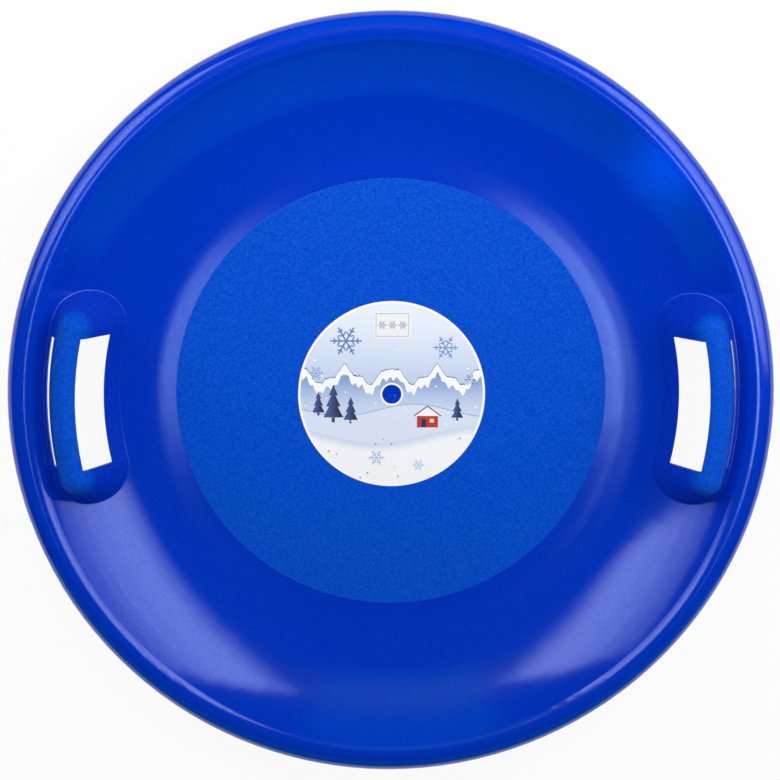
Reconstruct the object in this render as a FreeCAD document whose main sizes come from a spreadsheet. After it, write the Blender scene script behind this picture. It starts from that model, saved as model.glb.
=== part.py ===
import FreeCAD, Part
import Sketcher
import math
import os

# Saucer sled: a round moulded dish with a flat seat, a rolled rim and two raised hand grips.
# Millimetres, +Z up, origin under the middle of the seat, grips on the X axis.

doc = FreeCAD.newDocument("saucer_sled")
sheet = doc.addObject("Spreadsheet::Sheet", "Sizes")

SIZES = (
    ("rim_radius", 300.0, "outer radius of the rim"),
    ("rim_height", 53.5, "top of the rim above the ground"),
    ("rim_roll", 13.0, "outside radius of the rolled rim"),
    ("lip_drop", 8.0, "straight lip below the roll"),
    ("wall", 2.5, "thickness of the moulding"),
    ("curve_width", 127.4, "from the rim in to the edge of the seat"),
    ("seat_radius", "=rim_radius - curve_width", "edge of the flat seat, where the wall starts to curve up"),
    ("roll_gap", "=curve_width - rim_roll", "from the edge of the seat out to the middle of the roll"),
    ("roll_rise", "=rim_height - rim_roll - wall", "from the seat up to the middle of the roll"),
    ("wall_round", "=(roll_gap ^ 2 + roll_rise ^ 2 - rim_roll ^ 2) / (2 * (rim_roll + roll_rise))",
     "radius of the curve of the wall, which runs smoothly into the roll"),
    ("gate_radius", 7.2, "edge of the moulding dimple in the middle of the seat"),
    ("gate_depth", 0.9, "depth of the moulding dimple"),
    ("gate_ball", "=(gate_radius ^ 2 + gate_depth ^ 2) / (2 * gate_depth)", "radius of its round floor"),
    ("grip_height", 71.4, "top of the grip above the ground"),
    ("grip_inset", 48.7, "middle of the grip in from the rim"),
    ("grip_middle", "=rim_radius - grip_inset", "middle of the grip from the axis of the sled"),
    ("grip_half_angle", 13.5, "half the turn of the grip between its round ends, degrees"),
    ("grip_foot_half", 37.8, "half width of the grip at ground level"),
    ("grip_draft", 22.5, "lean of the grip's sides, degrees"),
    ("foot_round", 1.2, "rounding where the grip meets the dish"),
    ("window_gap", 6.9, "from the middle of the grip in to the finger window"),
    ("window_width", 17.3, "width of the finger window"),
    ("window_half", 50.8, "half length of the finger window"),
    ("window_outer", "=grip_middle - window_gap", "outer side of the finger window"),
    ("window_inner", "=window_outer - window_width", "inner side of the finger window"),
    ("slit_gap", 14.2, "from the middle of the grip out to the slit behind it"),
    ("slit_width", 3.6, "width of the slit"),
    ("slit_inner", "=grip_middle + slit_gap", "inner side of the slit"),
    ("slit_outer", "=slit_inner + slit_width", "outer side of the slit"),
    ("opening_corner", 0.6, "corners of the finger window and the slit"),
    ("edge_round", 0.4, "rounding of the free edges"),
    ("label_radius", 75.3, "radius of the round label"),
    ("label_hole", 7.8, "radius of the hole in the label"),
    ("label_thick", 0.2, "thickness of the label"),
    ("sticker_wide", 29.4, "width of the small sticker"),
    ("sticker_deep", 21.5, "depth of the small sticker"),
    ("sticker_inset", 19.3, "middle of the small sticker in from the edge of the label"),
    ("sticker_offset", "=label_radius - sticker_inset", "the same from the middle of the seat"),
    ("sticker_thick", 0.15, "thickness of the small sticker"),
    ("margin", 10.0, "how far a cutting body reaches past what it cuts"),
)
for row, (alias, value, meaning) in enumerate(SIZES, start=1):
    sheet.set("A%d" % row, alias)
    sheet.set("B%d" % row, str(value))
    sheet.set("C%d" % row, meaning)
    sheet.setAlias("B%d" % row, alias)
doc.recompute()
size = {alias: float(sheet.get(alias)) for alias, value, meaning in SIZES}

ORIGIN = FreeCAD.Vector(0, 0, 0)
UP = FreeCAD.Vector(0, 0, 1)
TOUCH = 1e-3


def point(x, y):
    return FreeCAD.Vector(x, y, 0)


def cell(text):
    """Spreadsheet form of a formula written with the plain size names."""
    for alias in sorted(size, key=len, reverse=True):
        text = text.replace("{%s}" % alias, "Sizes." + alias)
    return text


def new_body(name):
    body = doc.addObject("PartDesign::Body", name)
    body.Label = name
    return body


def new_sketch(body, name, plane, height=None):
    sketch = body.newObject("Sketcher::SketchObject", name)
    for feature in body.Origin.OriginFeatures:
        if feature.Role == plane:
            sketch.AttachmentSupport = [(feature, "")]
    sketch.MapMode = "FlatFace"
    if height is not None:
        sketch.setExpression("AttachmentOffset.Base.z", cell(height))
    return sketch


def bind(sketch, constraint, formula):
    """Adds a constraint and ties its value to the sheet."""
    index = sketch.addConstraint(constraint)
    sketch.setExpression("Constraints[%d]" % index, cell(formula))


def join(sketch, first, first_end, second, second_end, kind="Coincident"):
    sketch.addConstraint(Sketcher.Constraint(kind, first, first_end, second, second_end))


def line(sketch, start, end, way=None):
    index = sketch.addGeometry(Part.LineSegment(point(*start), point(*end)), False)
    if way:
        sketch.addConstraint(Sketcher.Constraint(way, index))
    return index


def arc(sketch, centre, radius, start, end):
    circle = Part.Circle(point(*centre), UP, radius)
    return sketch.addGeometry(Part.ArcOfCircle(circle, start, end), False)


def wall_path(sketch, depth, bend_formula, roll_formula):
    """Curve of the wall and roll of the rim, some depth below the upper surface; returns their numbers."""
    bend_radius = size["wall_round"] + depth
    centre = (size["seat_radius"], size["wall"] + size["wall_round"])
    roll_radius = size["rim_roll"] - depth
    roll_centre = (size["rim_radius"] - size["rim_roll"], size["rim_height"] - size["rim_roll"])
    bend_end = math.atan2(roll_centre[1] - centre[1], roll_centre[0] - centre[0])
    bend = arc(sketch, centre, bend_radius, -math.pi / 2, bend_end)
    roll = arc(sketch, roll_centre, roll_radius, 0, bend_end + math.pi)
    join(sketch, bend, 2, roll, 2, "Tangent")
    bind(sketch, Sketcher.Constraint("DistanceX", -1, 1, bend, 3, centre[0]), "{seat_radius}")
    bind(sketch, Sketcher.Constraint("Radius", bend, bend_radius), bend_formula)
    bind(sketch, Sketcher.Constraint("Radius", roll, roll_radius), roll_formula)
    bind(sketch, Sketcher.Constraint("DistanceY", -1, 1, roll, 3, roll_centre[1]),
         "{rim_height} - {rim_roll}")
    return bend, roll


def revolve(body, sketch, name):
    turn = body.newObject("PartDesign::Revolution", name)
    turn.Profile = sketch
    turn.ReferenceAxis = (sketch, ["V_Axis"])
    turn.Angle = 360
    sketch.Visibility = False
    return turn


# Dish as a full block under its upper surface
dish = new_body("dish_block")
sketch = new_sketch(dish, "dish_block_section", "XZ_Plane")
axis = line(sketch, (0, 0), (0, size["wall"]), "Vertical")
seat = line(sketch, (0, size["wall"]), (size["seat_radius"], size["wall"]), "Horizontal")
bend, roll = wall_path(sketch, 0.0, "{wall_round}", "{rim_roll}")
outside = line(sketch, (size["rim_radius"], size["rim_height"] - size["rim_roll"]),
               (size["rim_radius"], 0))
ground = line(sketch, (size["rim_radius"], 0), (0, 0), "Horizontal")
join(sketch, axis, 1, -1, 1)
join(sketch, axis, 2, seat, 1)
join(sketch, seat, 2, bend, 1)
join(sketch, roll, 1, outside, 1, "Tangent")
join(sketch, outside, 2, ground, 1)
join(sketch, ground, 2, axis, 1)
bind(sketch, Sketcher.Constraint("DistanceY", axis, 1, axis, 2, size["wall"]), "{wall}")
bind(sketch, Sketcher.Constraint("DistanceX", seat, 1, seat, 2, size["seat_radius"]), "{seat_radius}")
bind(sketch, Sketcher.Constraint("DistanceX", -1, 1, outside, 2, size["rim_radius"]), "{rim_radius}")
revolve(dish, sketch, "dish_block_turn")

# Space under the dish, one wall below its upper surface
under = new_body("under_space")
sketch = new_sketch(under, "under_space_section", "XZ_Plane")
start_x = size["seat_radius"]
lip_x = size["rim_radius"] - size["wall"]
lip_z = size["rim_height"] - size["rim_roll"] - size["lip_drop"]
far_x = size["rim_radius"] + size["margin"]
low_z = -size["margin"]
side = line(sketch, (start_x, low_z), (start_x, 0), "Vertical")
bend, roll = wall_path(sketch, size["wall"], "{wall_round} + {wall}", "{rim_roll} - {wall}")
lip = line(sketch, (lip_x, size["rim_height"] - size["rim_roll"]), (lip_x, lip_z))
shelf = line(sketch, (lip_x, lip_z), (far_x, lip_z), "Horizontal")
outside = line(sketch, (far_x, lip_z), (far_x, low_z), "Vertical")
floor = line(sketch, (far_x, low_z), (start_x, low_z), "Horizontal")
join(sketch, side, 2, bend, 1)
join(sketch, roll, 1, lip, 1, "Tangent")
join(sketch, lip, 2, shelf, 1)
join(sketch, shelf, 2, outside, 1)
join(sketch, outside, 2, floor, 1)
join(sketch, floor, 2, side, 1)
sketch.addConstraint(Sketcher.Constraint("PointOnObject", side, 2, -1))
bind(sketch, Sketcher.Constraint("DistanceX", -1, 1, side, 2, start_x), "{seat_radius}")
bind(sketch, Sketcher.Constraint("DistanceX", -1, 1, lip, 2, lip_x), "{rim_radius} - {wall}")
bind(sketch, Sketcher.Constraint("DistanceY", lip, 2, lip, 1, size["lip_drop"]), "{lip_drop}")
bind(sketch, Sketcher.Constraint("DistanceX", -1, 1, outside, 2, far_x), "{rim_radius} + {margin}")
bind(sketch, Sketcher.Constraint("DistanceY", outside, 2, -1, 1, size["margin"]), "{margin}")
revolve(under, sketch, "under_space_turn")


def draft_side(sketch, corner, end, foot_formula):
    """Sloping side of the grip's section, leaning in by the draft angle."""
    side = line(sketch, corner, end)
    turn = math.pi / 2 + math.radians(size["grip_draft"])
    bind(sketch, Sketcher.Constraint("DistanceX", -1, 1, side, 1, corner[0]), foot_formula)
    bind(sketch, Sketcher.Constraint("Angle", side, turn), "90 deg + {grip_draft} * 1 deg")
    return side


def hump(name, inset):
    """Hump with a round crest: its section turned about the axis of the sled, with round ends."""
    body = new_body(name)
    lean = math.radians(size["grip_draft"])
    depth = size[inset] if inset else 0.0
    depth_formula = "{%s}" % inset if inset else "0"
    foot = size["grip_foot_half"] - depth / math.cos(lean)
    foot_formula = "({grip_foot_half} - %s / cos({grip_draft} * 1 deg))" % depth_formula
    crest = (size["grip_foot_half"] * math.cos(lean) - size["grip_height"] * math.sin(lean))
    crest = crest / (1 - math.sin(lean)) - depth
    crest_formula = ("({grip_foot_half} * cos({grip_draft} * 1 deg)"
                     " - {grip_height} * sin({grip_draft} * 1 deg))"
                     " / (1 - sin({grip_draft} * 1 deg)) - %s" % depth_formula)
    middle = size["grip_middle"]
    crest_z = size["grip_height"] - depth - crest
    tangent_x = crest * math.cos(lean)
    tangent_z = crest_z + crest * math.sin(lean)

    # Section between the two ends
    sketch = new_sketch(body, name + "_section", "XZ_Plane")
    base = line(sketch, (middle - foot, 0), (middle + foot, 0), "Horizontal")
    sketch.addConstraint(Sketcher.Constraint("PointOnObject", base, 1, -1))
    right = draft_side(sketch, (middle + foot, 0), (middle + tangent_x, tangent_z),
                       "{grip_middle} + " + foot_formula)
    crown = arc(sketch, (middle, crest_z), crest, lean, math.pi - lean)
    left = line(sketch, (middle - tangent_x, tangent_z), (middle - foot, 0))
    join(sketch, base, 2, right, 1)
    join(sketch, right, 2, crown, 1, "Tangent")
    join(sketch, crown, 2, left, 1, "Tangent")
    join(sketch, left, 2, base, 1)
    bind(sketch, Sketcher.Constraint("DistanceX", -1, 1, base, 1, middle - foot),
         "{grip_middle} - " + foot_formula)
    bind(sketch, Sketcher.Constraint("DistanceX", -1, 1, crown, 3, middle), "{grip_middle}")
    bind(sketch, Sketcher.Constraint("Radius", crown, crest), crest_formula)
    sweep = revolve(body, sketch, name + "_sweep")
    sweep.Midplane = True
    sweep.setExpression("Angle", cell("2 * {grip_half_angle}"))

    # Round ends, turned about an upright axis at either end of the crest
    for end_name, sign in (("_head", 1), ("_tail", -1)):
        sketch = new_sketch(body, name + end_name, "XZ_Plane")
        sketch.AttachmentOffset = FreeCAD.Placement(
            ORIGIN, FreeCAD.Rotation(FreeCAD.Vector(0, sign, 0), 90 + size["grip_half_angle"]))
        sketch.setExpression("AttachmentOffset.Base.x",
                             cell("{grip_middle} * cos({grip_half_angle} * 1 deg)"))
        sketch.setExpression("AttachmentOffset.Base.z",
                             cell("%d * {grip_middle} * sin({grip_half_angle} * 1 deg)" % -sign))
        sketch.setExpression("AttachmentOffset.Rotation.Angle",
                             cell("90 deg + {grip_half_angle} * 1 deg"))
        base = line(sketch, (0, 0), (foot, 0), "Horizontal")
        slope = draft_side(sketch, (foot, 0), (tangent_x, tangent_z), foot_formula)
        crown = arc(sketch, (0, crest_z), crest, lean, math.pi / 2)
        post = line(sketch, (0, crest_z + crest), (0, 0), "Vertical")
        join(sketch, base, 1, -1, 1)
        join(sketch, base, 2, slope, 1)
        join(sketch, slope, 2, crown, 1, "Tangent")
        join(sketch, crown, 2, post, 1)
        join(sketch, post, 2, base, 1)
        sketch.addConstraint(Sketcher.Constraint("PointOnObject", crown, 3, -2))
        bind(sketch, Sketcher.Constraint("Radius", crown, crest), crest_formula)
        cap = revolve(body, sketch, name + end_name + "_turn")
        cap.Midplane = True
        cap.Angle = 180
    return body


grip = hump("grip_hump", None)
core = hump("grip_hollow", "wall")


def sector_cut(name, inner, outer):
    """Upright cutting body between two arcs about the axis, as long as the finger window."""
    body = new_body(name)
    half = size["window_half"]
    near_radius = size[inner]
    far_radius = size[outer]
    sketch = new_sketch(body, name + "_plan", "XY_Plane", "-{margin}")
    near_turn = math.asin(half / near_radius)
    far_turn = math.asin(half / far_radius)
    near = arc(sketch, (0, 0), near_radius, -near_turn, near_turn)
    far = arc(sketch, (0, 0), far_radius, -far_turn, far_turn)
    near_x = near_radius * math.cos(near_turn)
    far_x = far_radius * math.cos(far_turn)
    top = line(sketch, (near_x, half), (far_x, half), "Horizontal")
    low = line(sketch, (near_x, -half), (far_x, -half), "Horizontal")
    join(sketch, near, 3, -1, 1)
    join(sketch, far, 3, -1, 1)
    join(sketch, near, 2, top, 1)
    join(sketch, far, 2, top, 2)
    join(sketch, near, 1, low, 1)
    join(sketch, far, 1, low, 2)
    bind(sketch, Sketcher.Constraint("Radius", near, near_radius), "{%s}" % inner)
    bind(sketch, Sketcher.Constraint("Radius", far, far_radius), "{%s}" % outer)
    bind(sketch, Sketcher.Constraint("DistanceY", -1, 1, top, 1, half), "{window_half}")
    bind(sketch, Sketcher.Constraint("DistanceY", low, 1, -1, 1, half), "{window_half}")
    pad = body.newObject("PartDesign::Pad", name + "_pad")
    pad.Profile = sketch
    pad.setExpression("Length", cell("{grip_height} + 2 * {margin}"))
    doc.recompute()
    upright = []
    for number, edge in enumerate(pad.Shape.Edges, start=1):
        if edge.BoundBox.ZLength > size["grip_height"]:
            upright.append("Edge%d" % number)
    corners = body.newObject("PartDesign::Fillet", name + "_corners")
    corners.Base = (pad, upright)
    corners.setExpression("Radius", cell("{opening_corner}"))
    return body


window = sector_cut("window_cut", "window_inner", "window_outer")
slit = sector_cut("slit_cut", "slit_inner", "slit_outer")


# Shallow round dimple where the moulding was filled
gate = doc.addObject("Part::Sphere", "gate_dimple")
gate.setExpression("Radius", cell("{gate_ball}"))
gate.setExpression("Placement.Base.z", cell("{wall} - {gate_depth} + {gate_ball}"))


def other_side(body):
    """The same body on the other side of the sled."""
    mirror = doc.addObject("Part::Mirroring", body.Name + "_other")
    mirror.Source = body
    mirror.Normal = FreeCAD.Vector(1, 0, 0)
    mirror.Base = ORIGIN
    return mirror


def touches(shape, spot):
    """Whether a spot lies on the skin of a shape."""
    return shape.Shells[0].distToShape(Part.Vertex(spot))[0] < TOUCH


def edge_middle(edge):
    return edge.valueAt((edge.FirstParameter + edge.LastParameter) / 2)


def foot_edges(shape, humps):
    """Edges along which a hump rises out of the dish."""
    names = []
    for number, edge in enumerate(shape.Edges, start=1):
        if edge.BoundBox.ZMin < size["wall"] or edge.BoundBox.DiagonalLength < TOUCH:
            continue
        spot = edge_middle(edge)
        if touches(dish.Shape, spot) and any(touches(item.Shape, spot) for item in humps):
            names.append("Edge%d" % number)
    return names


def free_edges(shape):
    """Upper edges of the finger windows and slits, and the edges of the lip."""
    names = []
    lip_bottom = size["rim_height"] - size["rim_roll"] - size["lip_drop"]
    for number, edge in enumerate(shape.Edges, start=1):
        box = edge.BoundBox
        if box.DiagonalLength < TOUCH:
            continue
        spot = edge_middle(edge)
        at_lip = abs(box.ZMin - lip_bottom) < TOUCH and abs(box.ZMax - lip_bottom) < TOUCH
        at_opening = any(touches(item.Shape, spot) for item in openings)
        if at_lip or at_opening and touches(smooth_block.Shape, spot):
            names.append("Edge%d" % number)
    return names


def rounded(name, source, edges, formula):
    """Body that takes over a shape and rounds some of its edges."""
    body = new_body(name)
    body.BaseFeature = source
    doc.recompute()
    fillet = body.newObject("PartDesign::Fillet", name + "_edges")
    fillet.Base = (body.Group[0], edges)
    fillet.setExpression("Radius", cell(formula))
    doc.recompute()
    return body


# Block with both humps, less the space below it and the openings of the grips
humps = [grip, other_side(grip)]
openings = [window, other_side(window), slit, other_side(slit)]
block = doc.addObject("Part::MultiFuse", "solid_sled")
block.Shapes = [dish] + humps
doc.recompute()
smooth_block = rounded("smooth_sled", block, foot_edges(block.Shape, humps), "{foot_round}")
cuts = doc.addObject("Part::MultiFuse", "cut_bodies")
cuts.Shapes = [under, core, other_side(core), gate] + openings
hollow = doc.addObject("Part::Cut", "hollow_sled")
hollow.Base = smooth_block
hollow.Tool = cuts
doc.recompute()
shell = rounded("saucer_shell", hollow, free_edges(hollow.Shape), "{edge_round}")

# Round label on the seat and the small sticker on the label
label = new_body("round_label")
sketch = new_sketch(label, "round_label_plan", "XY_Plane", "{wall}")
for radius, formula in ((size["label_radius"], "{label_radius}"), (size["label_hole"], "{label_hole}")):
    ring = sketch.addGeometry(Part.Circle(ORIGIN, UP, radius), False)
    join(sketch, ring, 3, -1, 1)
    bind(sketch, Sketcher.Constraint("Radius", ring, radius), formula)
pad = label.newObject("PartDesign::Pad", "round_label_pad")
pad.Profile = sketch
pad.setExpression("Length", cell("{label_thick}"))

sticker = doc.addObject("Part::Box", "stock_sticker")
sticker.Label = "stock_sticker"
sticker.setExpression("Length", cell("{sticker_wide}"))
sticker.setExpression("Width", cell("{sticker_deep}"))
sticker.setExpression("Height", cell("{sticker_thick}"))
sticker.setExpression("Placement.Base.x", cell("-{sticker_wide} / 2"))
sticker.setExpression("Placement.Base.y", cell("{sticker_offset} - {sticker_deep} / 2"))
sticker.setExpression("Placement.Base.z", cell("{wall} + {label_thick}"))
doc.recompute()

for item in doc.Objects:
    if "Invalid" in item.State or "Error" in item.State:
        raise RuntimeError("%s did not compute: %s" % (item.Name, item.State))

os.makedirs("parts", exist_ok=True)
for item in (shell, label, sticker):
    shape = item.Shape
    if shape.isNull() or not shape.isValid():
        raise RuntimeError("%s has no sound shape" % item.Label)
    print(item.Label, "solids", len(shape.Solids), "volume", round(shape.Volume, 1))
    shape.exportStep("parts/%s.step" % item.Label)
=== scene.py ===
"""Looks of the saucer sled: blue moulded plastic, a printed round label and a small paper sticker."""

import math

import bpy
from mathutils import Matrix, Vector

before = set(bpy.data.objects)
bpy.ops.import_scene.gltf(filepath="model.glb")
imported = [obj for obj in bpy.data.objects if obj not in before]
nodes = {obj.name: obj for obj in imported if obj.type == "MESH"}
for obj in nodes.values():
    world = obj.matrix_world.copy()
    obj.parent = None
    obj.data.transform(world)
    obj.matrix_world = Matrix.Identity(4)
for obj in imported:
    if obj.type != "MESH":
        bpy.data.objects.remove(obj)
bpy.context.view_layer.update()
scene = bpy.context.scene
scene.view_settings.view_transform = "Standard"

MM = 0.001

# Sizes of the sled that its materials follow, in millimetres and degrees
SEAT_RADIUS = 172.6
GATE_RADIUS = 7.2
GRIP_MIDDLE = 251.3
GRIP_HALF_ANGLE = 13.5
GRIP_FOOT = 37.8
GRIP_DRAFT = 22.5
STICKER_Y = 56.0

# Darkest and lightest tone of the glossy and of the grained plastic, and the tint of its gloss. The
# grained tone is paler partly because of the grain and partly as painted light on the seat and grip
# crests, which face up to the lamps
GLOSS_BLUE = ((0.0, 0.0290, 0.500), (0.0, 0.0470, 0.605))
GRAINED_LIT_BLUE = ((0.0002, 0.0560, 0.507), (0.0010, 0.0930, 0.668))
GLOSS_TINT = (0.52, 0.63, 1.0, 1.0)

# Side softboxes, which fade towards their edges: upper and lower edge in X and Z, span along Y
PANELS = (
    ("panel_right", (0.566, 1.389), (1.523, 0.353), (-0.044, 1.306)),
    ("panel_left", (-0.607, 1.770), (-1.709, 0.726), (0.229, 1.525)),
)
# How far down a side softbox each of its steps ends, 0 to 1, and the radiance of the step
PANEL_STEPS = ((0.05, 0.7), (0.10, 1.4), (0.16, 2.2), (0.44, 3.0), (0.63, 2.5), (0.80, 1.7), (1.0, 1.1))

# Lamps over the seat: middle, aim, width, height, radiance, half spread and turn in degrees
STRIPS = (
    ("strip_right", (0.2891, -0.1013, 1.25), (0.403, 0.060, 0.0), 0.280, 0.243, 6.3, 16.7, -15.0),
    ("tip_right", (0.1596, -0.0396, 1.25), (0.401, 0.196, 0.0), 0.310, 0.350, 4.9, 8.9, -20.1),
    ("strip_left", (-0.2055, -0.0410, 1.25), (-0.259, 0.118, 0.0), 0.187, 0.353, 2.8, 17.4, 22.6),
)
STRIP_COLOUR = (0.75, 0.95, 1.0)
FILL = ("fill", (0.0, 0.35, 0.6), (0.0, 0.35, 0.0), 0.40, 0.30, 4.1, 89.9)
SPOT = ("spot", (-0.15, -0.12, 0.25), (0.213, 0.187, 0.046), 0.03, 0.03, 1250.0, 4.4)
SPOT_COLOUR = (0.3, 1.0, 0.72)

# Dim upright cards that only show in the gloss of the wall: Y, height of the middle, width, height
CARDS = (
    ("card_near", -1.2, 0.53, 3.6, 1.06),
    ("card_far", 1.4, 1.7, 1.0, 2.4),
)
CARD_COLOUR = (0.0, 0.90, 1.0)
CARD_RADIANCE = 0.32
WIDE_OPEN = 89.9


class Field:
    """A number that varies over a surface. Arithmetic on it adds Math nodes to its material."""

    def __init__(self, tree, socket):
        self.tree = tree
        self.socket = socket

    def math(self, operation, *others):
        node = self.tree.nodes.new("ShaderNodeMath")
        node.operation = operation
        for slot, value in zip(node.inputs, (self,) + others):
            plug(self.tree, slot, value)
        return Field(self.tree, node.outputs[0])

    def __add__(self, other):
        return self.math("ADD", other)

    def __sub__(self, other):
        return self.math("SUBTRACT", other)

    def __rsub__(self, other):
        return (self * -1.0) + other

    def __mul__(self, other):
        return self.math("MULTIPLY", other)

    def __truediv__(self, other):
        return self.math("DIVIDE", other)

    __radd__ = __add__
    __rmul__ = __mul__

    def rise(self, low, high):
        """Soft step from 0 at low to 1 at high."""
        node = self.tree.nodes.new("ShaderNodeMapRange")
        node.interpolation_type = "SMOOTHSTEP"
        plug(self.tree, node.inputs["Value"], self)
        plug(self.tree, node.inputs["From Min"], low)
        plug(self.tree, node.inputs["From Max"], high)
        return Field(self.tree, node.outputs["Result"])

    def fall(self, low, high):
        """Soft step from 1 at low to 0 at high."""
        return 1.0 - self.rise(low, high)

    def inside(self, soft=0.15):
        """Mask of where the field is below 0, with a soft edge."""
        return self.fall(-soft, soft)

    def outline(self, half_width):
        """Mask of a line where the field is about 0."""
        return (self.math("ABSOLUTE") - half_width).inside()

    def wave(self, length, turn=0.0):
        """Sine of the field, once round per length."""
        return (self * (2.0 * math.pi / length) + turn).math("SINE")

    def zigzag(self, length, tall):
        """Teeth of one length and one height along the field."""
        return self.math("PINGPONG", length / 2.0) * (2.0 * tall / length)


def plug(tree, slot, value):
    """Feeds a socket from a field, another socket or a plain value."""
    if isinstance(value, Field):
        value = value.socket
    if isinstance(value, bpy.types.NodeSocket):
        tree.links.new(value, slot)
    else:
        slot.default_value = value


def new_material(name):
    material = bpy.data.materials.new(name)
    material.use_nodes = True
    tree = material.node_tree
    return material, tree, tree.nodes["Principled BSDF"]


def place(tree):
    """Where a point of the piece is, as one vector and as three fields, in metres."""
    vector = tree.nodes.new("ShaderNodeTexCoord").outputs["Object"]
    split = tree.nodes.new("ShaderNodeSeparateXYZ")
    tree.links.new(vector, split.inputs[0])
    return vector, [Field(tree, out) for out in split.outputs]


def combine(tree, x, y, z):
    node = tree.nodes.new("ShaderNodeCombineXYZ")
    for slot, value in zip(node.inputs, (x, y, z)):
        plug(tree, slot, value)
    return node.outputs[0]


def distance(u, v):
    """How far a point is from where u and v are 0."""
    return (u * u + v * v).math("SQRT")


def noise(tree, vector, size, detail=2.0, roughness=0.5):
    """Soft random field between 0 and 1 whose blobs are about one size across, in metres."""
    node = tree.nodes.new("ShaderNodeTexNoise")
    tree.links.new(vector, node.inputs["Vector"])
    node.inputs["Scale"].default_value = 1.0 / size
    node.inputs["Detail"].default_value = detail
    node.inputs["Roughness"].default_value = roughness
    return Field(tree, node.outputs["Fac"])


def mix(tree, factor, first, second):
    """Colour that goes from the first to the second as the factor goes from 0 to 1."""
    node = tree.nodes.new("ShaderNodeMix")
    node.data_type = "RGBA"
    plug(tree, node.inputs["Factor"], factor)
    for slot, value in zip((node.inputs[6], node.inputs[7]), (first, second)):
        plug(tree, slot, value if isinstance(value, bpy.types.NodeSocket) else (*value, 1.0))
    return node.outputs[2]


def bump(tree, height):
    """Normal of a surface raised by a height in metres."""
    node = tree.nodes.new("ShaderNodeBump")
    node.inputs["Distance"].default_value = 1.0
    plug(tree, node.inputs["Height"], height)
    return node.outputs["Normal"]


def seat_mask(radius, z):
    """Upper side of the flat seat, without the dimple in its middle."""
    disc = radius.fall((SEAT_RADIUS - 0.3) * MM, (SEAT_RADIUS + 0.3) * MM)
    ring = disc * radius.rise((GATE_RADIUS - 0.2) * MM, (GATE_RADIUS + 0.2) * MM)
    return ring * z.rise(0.9 * MM, 1.3 * MM)


def grip_mask(x, y, z, radius):
    """The two grips, down to the line where they meet the wall."""
    side = x.math("ABSOLUTE")
    end = y.math("ABSOLUTE")
    half_turn = math.radians(GRIP_HALF_ANGLE)
    past_x = side - GRIP_MIDDLE * math.cos(half_turn) * MM
    past_y = end - GRIP_MIDDLE * math.sin(half_turn) * MM
    along = (radius - GRIP_MIDDLE * MM).math("ABSOLUTE")
    beyond = distance(past_x, past_y)
    between = (end - side * math.tan(half_turn)).inside(0.1 * MM)
    off = along * between + beyond * (1.0 - between)
    foot = GRIP_FOOT * MM - z * math.tan(math.radians(GRIP_DRAFT))
    return (off - foot - 0.3 * MM).inside(0.3 * MM)


def blue_plastic():
    """Moulded polyethylene: glossy wall and rim, grain on the seat and the grips."""
    material, tree, shader = new_material("blue_plastic")
    vector, (x, y, z) = place(tree)
    radius = distance(x, y)

    # Matte where the mould was grained, satin on the sides of the grips, glossy elsewhere. The grained
    # seat and grip crests also take the paler tone, which is partly painted light on faces turned up to
    # the lamps
    grip = grip_mask(x, y, z, radius)
    grain_and_lit_faces = seat_mask(radius, z).math("MAXIMUM", grip * z.rise(55.0 * MM, 64.0 * MM))
    satin = (grip - grain_and_lit_faces).math("MAXIMUM", 0.0)

    # Streaks of the melt that ran out from the middle, slow changes of shade, and fine specks
    around = combine(tree, x / radius * 6.0, y / radius * 6.0, radius * 5.0)
    streaks = noise(tree, around, 1.0, 4.0, 0.6)
    cloud = noise(tree, vector, 90.0 * MM, 3.0)
    speck = noise(tree, vector, 2.0 * MM, 2.0, 0.7)
    shade = (streaks - 0.5) * 0.10 + (cloud - 0.5) * 0.16 + (speck - 0.5) * (1.9 - grain_and_lit_faces * 0.6) + 0.5
    # Paler tone on the seat and grip crests: partly the grain, partly painted light where these faces
    # turn up to the lamps
    colour = mix(tree, grain_and_lit_faces, mix(tree, shade, *GLOSS_BLUE), mix(tree, shade, *GRAINED_LIT_BLUE))
    tree.links.new(colour, shader.inputs["Base Color"])

    # Hairline rubs of stacked sleds, and a slightly uneven gloss
    rubs = noise(tree, combine(tree, x * 14.0, y * 260.0, z * 60.0), 1.0, 5.0, 0.7).rise(0.63, 0.72)
    gloss_rough = 0.11 + (cloud - 0.5) * 0.03 + rubs * 0.04
    matte_rough = 0.55 + (speck - 0.5) * 0.12
    rough = gloss_rough * (1.0 - grain_and_lit_faces) + grain_and_lit_faces * matte_rough + satin * 0.30
    plug(tree, shader.inputs["Roughness"], rough)
    shine = 1.0 - grain_and_lit_faces * 0.90 - satin * 0.75 + (speck - 0.5)
    plug(tree, shader.inputs["Specular IOR Level"], shine)
    shader.inputs["Specular Tint"].default_value = GLOSS_TINT

    # Grain of the mould, a trace of orange peel and a slow wave of the thin wall
    grain = noise(tree, vector, 0.9 * MM, 3.0, 0.65) * ((grain_and_lit_faces + satin) * (0.065 * MM) + 0.020 * MM)
    peel = noise(tree, vector, 3.2 * MM, 2.0) * (0.0035 * MM)
    wave = noise(tree, vector, 55.0 * MM, 1.0) * (0.10 * MM)
    tree.links.new(bump(tree, grain + peel + wave), shader.inputs["Normal"])
    return material


def ink(red, green, blue):
    """Colour of a print tone given in steps of 0 to 255."""
    steps = [step / 255.0 for step in (red, green, blue)]
    return tuple(step / 12.92 if step <= 0.04045 else ((step + 0.055) / 1.055) ** 2.4 for step in steps)


PAPER = ink(252, 253, 255)
NAVY = ink(24, 36, 78)

# Fir trees on the label: place of the foot, height and width in millimetres
FIRS = ((-47, -19, 27, 8.5), (-33, -21, 19, 6.2), (-59, -15, 17, 5.4), (53, -19, 16, 5.2))

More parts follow.
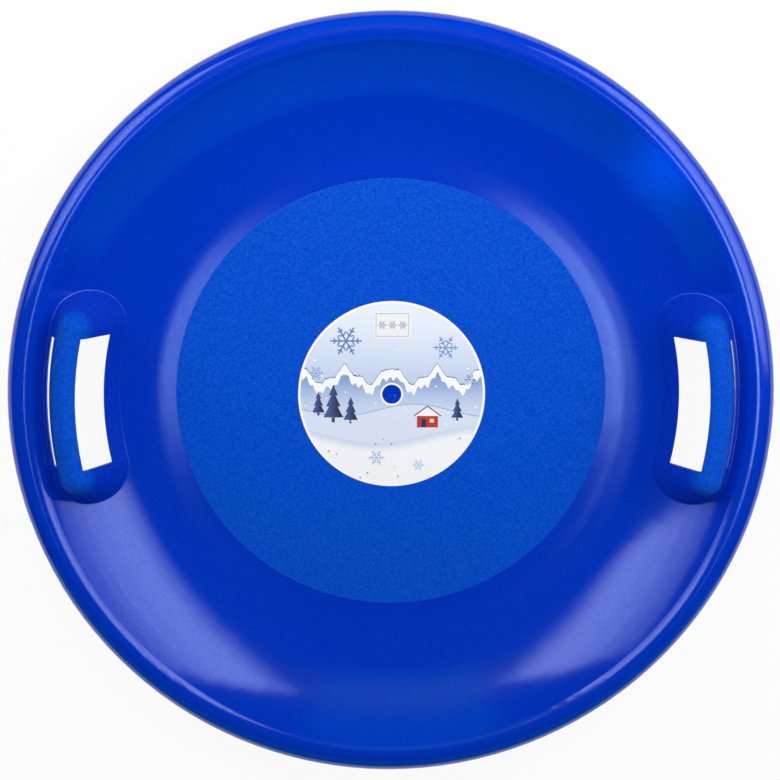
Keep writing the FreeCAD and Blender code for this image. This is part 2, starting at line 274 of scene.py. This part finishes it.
# Snow crystals on the label: place, reach in millimetres, and tone
CRYSTALS = (
    (-37, 43, 12.5, ink(84, 122, 194)),
    (43, 38, 10.0, ink(112, 148, 208)),
    (-61, 17, 6.0, ink(120, 156, 214)),
    (63, 12, 5.0, ink(84, 122, 194)),
    (-12, -52, 6.5, ink(150, 178, 224)),
    (22, -58, 5.0, ink(170, 194, 232)),
)


def crystal(u, v, reach):
    """Mask of a six-armed snow crystal about the point where u and v are 0."""
    sixth = math.pi / 3
    turn = v.math("ARCTAN2", u)
    fold = (turn + (math.pi + sixth / 2)).math("MODULO", sixth) - sixth / 2
    far = distance(u, v)
    along = far * fold.math("COSINE")
    off = (far * fold.math("SINE")).math("ABSOLUTE")
    mask = (off - 0.05 * reach).inside() * (along - reach).inside()
    for start in (0.38, 0.68):
        twig = (along - off * 0.58 - start * reach).outline(0.05 * reach)
        mask = mask.math("MAXIMUM", twig * (off - reach * 0.32 * (1.25 - start)).inside())
    return mask


def fir(u, v, tall, wide):
    """Mask of a fir tree of three tiers that stands where u and v are 0."""
    up = v / tall
    tier = (up * 3.0).math("FRACT")
    half = ((1.0 - up) * 0.62 + (1.0 - tier) * (1.0 - up * 0.5) * 0.34) * wide
    crown = (u.math("ABSOLUTE") - half).inside() * up.rise(-0.01, 0.01) * up.fall(0.98, 1.0)
    trunk = u.outline(0.16 * wide) * up.rise(-0.16, -0.14) * up.fall(-0.01, 0.01)
    return crown.math("MAXIMUM", trunk)


def box(u, v, half_wide, half_tall):
    """Mask of a rectangle about the point where u and v are 0."""
    return u.outline(half_wide) * v.outline(half_tall)


def print_hut(tree, colour, u, v):
    """Red hut with a white roof about the point where u and v are 0, printed over a colour."""
    planks = mix(tree, v.zigzag(1.9, 1.0), ink(172, 26, 22), ink(214, 48, 36))
    colour = mix(tree, box(u, v, 8.5, 5.0), colour, planks)
    colour = mix(tree, box(u + 3.0, v + 1.6, 1.7, 3.4), colour, NAVY)
    colour = mix(tree, box(u - 3.6, v - 0.6, 1.7, 1.6), colour, ink(250, 226, 150))
    eaves = u.math("ABSOLUTE") + (v - 4.2) * 1.35
    for reach, tone in ((11.8, NAVY), (10.4, PAPER)):
        colour = mix(tree, (eaves - reach).inside() * v.rise(4.2, 4.5), colour, tone)
    return colour


def snow_dots(tree, x, y):
    """Mask of scattered round flakes of several sizes."""
    flakes = tree.nodes.new("ShaderNodeTexVoronoi")
    flakes.inputs["Scale"].default_value = 1.0 / (6.2 * MM)
    plug(tree, flakes.inputs["Vector"], combine(tree, x, y, 0.0))
    lot = tree.nodes.new("ShaderNodeSeparateColor")
    tree.links.new(flakes.outputs["Color"], lot.inputs[0])
    chance = Field(tree, lot.outputs[0])
    gap = Field(tree, flakes.outputs["Distance"]) - chance * 0.15
    return gap.inside(0.02) * chance.rise(0.35, 0.40)


def label_print():
    """Coated paper with a printed winter view: hills, far peaks, fir trees, a hut and snow crystals."""
    material, tree, shader = new_material("label_paper")
    vector, (x, y, z) = place(tree)
    u = x / MM
    v = y / MM

    # Sky and far peaks with white tops
    colour = mix(tree, v.rise(-30.0, 70.0), ink(172, 195, 234), ink(232, 239, 250))
    rough_edge = noise(tree, vector, 3.0 * MM, 3.0, 0.6)
    ridge = (u + 93.0).zigzag(37.0, 15.0) + (u + 61.0).zigzag(15.0, 5.0) + rough_edge * 3.0 + 4.0
    caps = (ridge - v - 6.0 - (u + 80.0).zigzag(5.6, 3.6)).inside()
    slope = mix(tree, v.rise(-16.0, 22.0), ink(206, 220, 243), ink(112, 150, 208))
    colour = mix(tree, (v - ridge).inside(), colour, mix(tree, caps, slope, PAPER))
    colour = mix(tree, (v - ridge).outline(0.35), colour, ink(52, 78, 140))

    # Far hill with fir trees and a hut, then the near hill, shaded below its crest
    far_hill = v - (u.wave(118.0, 0.6) * 5.0 - 13.0)
    colour = mix(tree, far_hill.inside(), colour, ink(221, 231, 248))
    colour = mix(tree, far_hill.outline(0.25), colour, ink(120, 152, 206))
    for tree_u, tree_v, tall, wide in FIRS:
        at = (u - tree_u, v - tree_v)
        tone = mix(tree, at[0].rise(-0.6 * wide, 0.6 * wide), ink(58, 86, 148), NAVY)
        colour = mix(tree, fir(*at, tall, wide), colour, tone)
    colour = print_hut(tree, colour, u - 29.0, v + 22.0)
    near_hill = v - (u.wave(165.0, -1.1) * 7.0 - 33.0)
    snow_bank = mix(tree, near_hill.rise(-9.0, 0.0) * 0.75, PAPER, ink(196, 213, 241))
    colour = mix(tree, near_hill.inside(), colour, snow_bank)

    # Snow crystals and falling snow
    for star_u, star_v, reach, tone in CRYSTALS:
        colour = mix(tree, crystal(u - star_u, v - star_v, reach), colour, tone)
    flake_tone = mix(tree, v.rise(-34.0, -26.0), ink(150, 176, 220), PAPER)
    colour = mix(tree, snow_dots(tree, x, y), colour, flake_tone)

    # Unprinted margins, paper fibres and the dots of the print
    radius = distance(u, v)
    margin = radius.rise(73.2, 73.5).math("MAXIMUM", radius.fall(9.1, 9.4))
    colour = mix(tree, margin, colour, PAPER)
    fibre = noise(tree, combine(tree, x, y * 2.5, z), 0.8 * MM, 4.0, 0.7)
    grain = noise(tree, vector, 0.45 * MM, 1.0)
    colour = mix(tree, (fibre - 0.5) * 0.22 + (grain - 0.5) * 0.16 + 0.03, colour, ink(196, 206, 222))
    tree.links.new(colour, shader.inputs["Base Color"])
    plug(tree, shader.inputs["Roughness"], 0.46 + (fibre - 0.5) * 0.18)
    shader.inputs["Specular IOR Level"].default_value = 0.3
    tree.links.new(bump(tree, fibre * (0.012 * MM)), shader.inputs["Normal"])
    return material


def sticker_print():
    """White matte paper with a thin frame and a row of small snow crystals."""
    material, tree, shader = new_material("sticker_paper")
    x, y, z = place(tree)[1]
    u = x / MM
    v = y / MM - STICKER_Y
    grey = ink(126, 134, 150)
    fibre = noise(tree, combine(tree, x, y * 3.0, z), 0.7 * MM, 4.0, 0.7)
    colour = mix(tree, fibre, ink(226, 228, 231), ink(252, 252, 252))
    colour = mix(tree, box(u, v, 13.2, 9.3) - box(u, v, 12.9, 9.0), colour, grey)
    for star_u in (-8.2, 0.0, 8.2):
        colour = mix(tree, crystal(u - star_u, v, 3.6), colour, grey)
    tree.links.new(colour, shader.inputs["Base Color"])
    plug(tree, shader.inputs["Roughness"], 0.55 + fibre * 0.2)
    tree.links.new(bump(tree, fibre * (0.02 * MM)), shader.inputs["Normal"])
    return material


def dress(node, material):
    for slot in nodes[node].material_slots:
        slot.material = material


def seen_ray(tree):
    """1 for what the camera sees straight, in a reflection or through something, else 0."""
    path = tree.nodes.new("ShaderNodeLightPath")
    rays = ("Is Camera Ray", "Is Glossy Ray", "Is Transmission Ray")
    camera, glossy, through = (Field(tree, path.outputs[ray]) for ray in rays)
    return camera.math("MAXIMUM", glossy).math("MAXIMUM", through)


def mix_shaders(tree, factor, first, second):
    """Shader that goes from the first to the second as the factor goes from 0 to 1."""
    node = tree.nodes.new("ShaderNodeMixShader")
    plug(tree, node.inputs[0], factor)
    tree.links.new(first, node.inputs[1])
    tree.links.new(second, node.inputs[2])
    return node.outputs[0]


def floor_white():
    """White to the camera but for a faint shadow round the sled, and clear when seen from below."""
    material = bpy.data.materials.new("floor_white")
    material.use_nodes = True
    tree = material.node_tree
    tree.nodes.clear()
    cloth = tree.nodes.new("ShaderNodeBsdfDiffuse")
    cloth.inputs["Color"].default_value = (0.86, 0.86, 0.86, 1.0)
    glow = tree.nodes.new("ShaderNodeEmission")
    clear = tree.nodes.new("ShaderNodeBsdfTransparent")
    below = tree.nodes.new("ShaderNodeNewGeometry").outputs["Backfacing"]
    x, y, z = place(tree)[1]
    away = distance(x, y).rise(0.4, 1.2)
    white_share = seen_ray(tree) * (0.93 + away * 0.07)
    white = mix_shaders(tree, white_share, cloth.outputs[0], glow.outputs[0])
    both_sides = mix_shaders(tree, below, white, clear.outputs[0])
    out = tree.nodes.new("ShaderNodeOutputMaterial")
    tree.links.new(both_sides, out.inputs[0])
    return material


def add_floor():
    """Floor just under the seat, wide enough to fill the picture."""
    half = 6.0
    mesh = bpy.data.meshes.new("floor")
    corners = [(sx * half, sy * half, -0.3 * MM) for sx, sy in ((-1, -1), (1, -1), (1, 1), (-1, 1))]
    mesh.from_pydata(corners, [], [(0, 1, 2, 3)])
    mesh.materials.append(floor_white())
    floor = bpy.data.objects.new("floor", mesh)
    scene.collection.objects.link(floor)


def set_world():
    """White behind the floor to the camera, a plain dim light on the sled, and dark in its gloss."""
    world = bpy.data.worlds.new("studio")
    world.use_nodes = True
    scene.world = world
    tree = world.node_tree
    path = tree.nodes.new("ShaderNodeLightPath")
    dim = mix(tree, path.outputs["Is Glossy Ray"], (0.26, 0.26, 0.26), (0.0, 0.0, 0.0))
    seen = mix(tree, path.outputs["Is Camera Ray"], dim, (1.0, 1.0, 1.0))
    tree.links.new(seen, tree.nodes["Background"].inputs["Color"])


def add_lamp(name, middle, facing, wide, tall, energy):
    """Rectangular lamp. Facing holds the directions of its width, of its height and of its back."""
    data = bpy.data.lights.new(name, "AREA")
    data.shape = "RECTANGLE"
    data.size = wide
    data.size_y = tall
    data.energy = energy
    lamp = bpy.data.objects.new(name, data)
    lamp.visible_camera = False
    scene.collection.objects.link(lamp)
    lamp.matrix_world = Matrix.Translation(middle) @ Matrix(facing).transposed().to_4x4()
    return lamp


def add_panel(name, top, low, span, radiance):
    """Softbox beside the sled: its upper and lower edge in X and Z, its span along Y."""
    high = Vector((top[0], 0.0, top[1]))
    foot = Vector((low[0], 0.0, low[1]))
    tall = (high - foot).length
    wide = span[1] - span[0]
    middle = (high + foot) / 2 + Vector((0.0, sum(span) / 2, 0.0))
    rise = (high - foot).normalized()
    across = Vector((0.0, 1.0, 0.0))
    back = across.cross(rise)
    if back.dot(middle) < 0:
        across = -across
        back = -back
    add_lamp(name, middle, (across, rise, back), wide, tall, radiance * math.pi * wide * tall)


def add_stepped_panel(name, top, low, span):
    """Softbox beside the sled, made of the steps of radiance from its upper to its lower edge."""
    start = 0.0
    for number, (end, radiance) in enumerate(PANEL_STEPS):
        cuts = [tuple(a + (b - a) * share for a, b in zip(top, low)) for share in (start, end)]
        add_panel("%s_%d" % (name, number), *cuts, span, radiance)
        start = end


def add_strip(name, middle, aim, wide, tall, radiance, half_spread, turn=0.0):
    """Softbox with a grid: it shines only within half_spread degrees of the way it is aimed."""
    half = math.radians(half_spread)
    angle = math.radians(turn)
    back = (Vector(middle) - Vector(aim)).normalized()
    across = Vector((math.cos(angle), math.sin(angle), 0.0))
    across = (across - back * across.dot(back)).normalized()
    energy = radiance * math.pi * wide * tall * (1.0 - half / math.tan(half))
    lamp = add_lamp(name, middle, (across, back.cross(across), back), wide, tall, energy)
    lamp.data.spread = 2.0 * half
    return lamp


def add_lamps():
    for panel in PANELS:
        add_stepped_panel(*panel)
    for strip in STRIPS:
        add_strip(*strip).data.color = STRIP_COLOUR
    fill = add_strip(*FILL)
    fill.visible_glossy = False
    spot = add_strip(*SPOT)
    spot.data.color = SPOT_COLOUR
    spot.visible_glossy = False
    for name, y, z, wide, tall in CARDS:
        card = add_strip(name, (0.0, y, z), (0.0, 0.0, z), wide, tall, CARD_RADIANCE, WIDE_OPEN)
        card.data.color = CARD_COLOUR
        card.visible_diffuse = False


def add_camera():
    """Camera above the sled, a little towards +Y, at the photograph's viewing angle."""
    eye = Vector((-0.04904, 0.20156, 1.37735))
    aim = Vector((-0.00343, 0.01172, 0.06000))
    roll = -0.0081
    ahead = (aim - eye).normalized()
    right = ahead.cross(Vector((math.sin(roll), math.cos(roll), 0.0))).normalized()
    up = right.cross(ahead)
    data = bpy.data.cameras.new("camera")
    data.sensor_width = 36.0
    data.lens = 79.70
    camera = bpy.data.objects.new("camera", data)
    scene.collection.objects.link(camera)
    facing = Matrix((right, up, -ahead)).transposed()
    camera.matrix_world = Matrix.Translation(eye) @ facing.to_4x4()
    scene.camera = camera


dress("saucer_shell", blue_plastic())
dress("round_label", label_print())
dress("stock_sticker", sticker_print())
add_floor()
set_world()
add_lamps()
add_camera()
